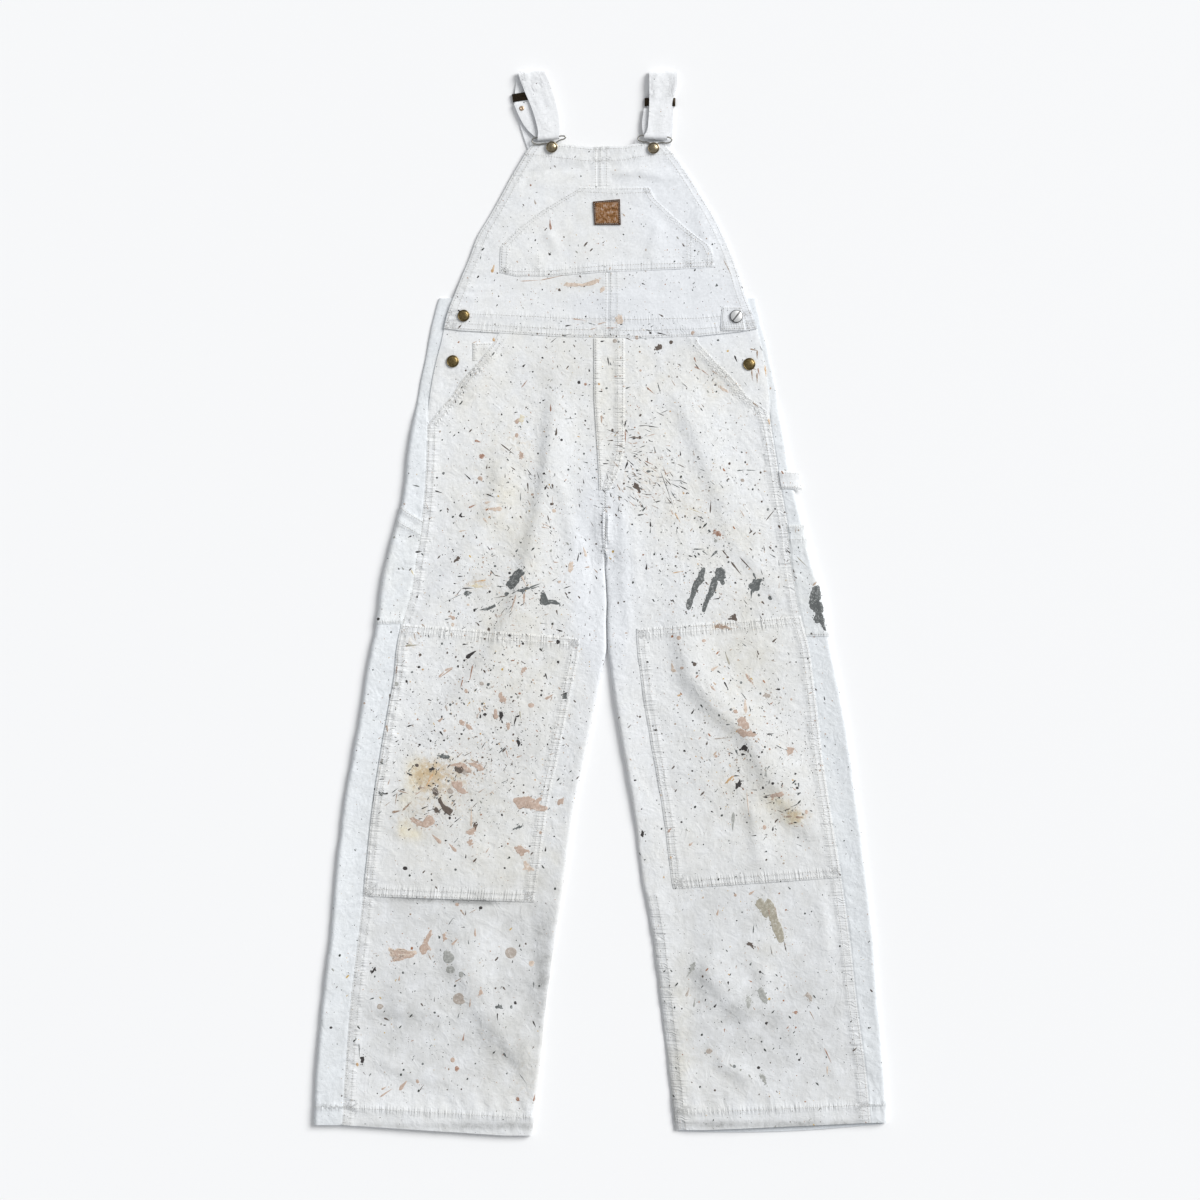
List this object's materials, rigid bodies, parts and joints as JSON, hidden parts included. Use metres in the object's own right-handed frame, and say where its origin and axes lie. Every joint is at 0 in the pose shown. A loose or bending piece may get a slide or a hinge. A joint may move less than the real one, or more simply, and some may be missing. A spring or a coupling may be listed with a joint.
{
  "type": "paint spattered bib overalls",
  "caption": "Painter's bib overalls laid flat on their back: straight legs with knee patches, a bib with a pocket, side buttons and buckled shoulder straps.",
  "frame": {"origin": "centre of the bounding box, on the surface that the garment lies on", "axes": "+X to the viewer's right across the garment, +Y up the garment from the ankles to the straps, +Z away from the surface"},
  "size_m": [0.7444, 1.382, 0.0129],
  "materials": {
    "canvas": "bleached cotton canvas, worn and wrinkled, under many coats of paint spatter",
    "canvas_warm": "creamier cotton canvas of the fly and the knee patches",
    "canvas_back": "cotton canvas of the back panels, a little greyer",
    "webbing": "folded canvas strap",
    "leather": "worn tan leather with dark edges",
    "brass": "dull olive-brown brass",
    "steel": "plain steel",
    "dark_metal": "dark lacquered steel",
    "copper": "tan copper-coloured rivet"
  },
  "bodies": {
    "root": {"front_left": "canvas", "front_right": "canvas", "bib_left": "canvas", "bib_right": "canvas", "bib_pocket": "canvas", "button_patch": "canvas", "watch_pocket": "canvas", "pocket_facing_left": "canvas", "pocket_facing_right": "canvas", "tool_pocket_left": "canvas", "tool_pocket_right": "canvas", "hammer_loop": "canvas", "fly": "canvas_warm", "knee_patch_left": "canvas_warm", "knee_patch_right": "canvas_warm", "back_left": "canvas_back", "back_right": "canvas_back", "back_upper": "canvas_back", "strap_left": "webbing", "strap_right": "webbing", "leather_patch": "leather", "bib_button_left": "brass", "bib_button_right": "brass", "side_button_upper_left": "brass", "side_button_lower_left": "brass", "side_button_lower_right": "brass", "screw_button_right": "steel", "hook_buckle_left": "steel", "hook_buckle_right": "steel", "strap_slide_left": "dark_metal", "strap_slide_right": "dark_metal", "strap_rivet_left": "copper", "strap_rivet_right": "copper"}
  },
  "joints": []
}
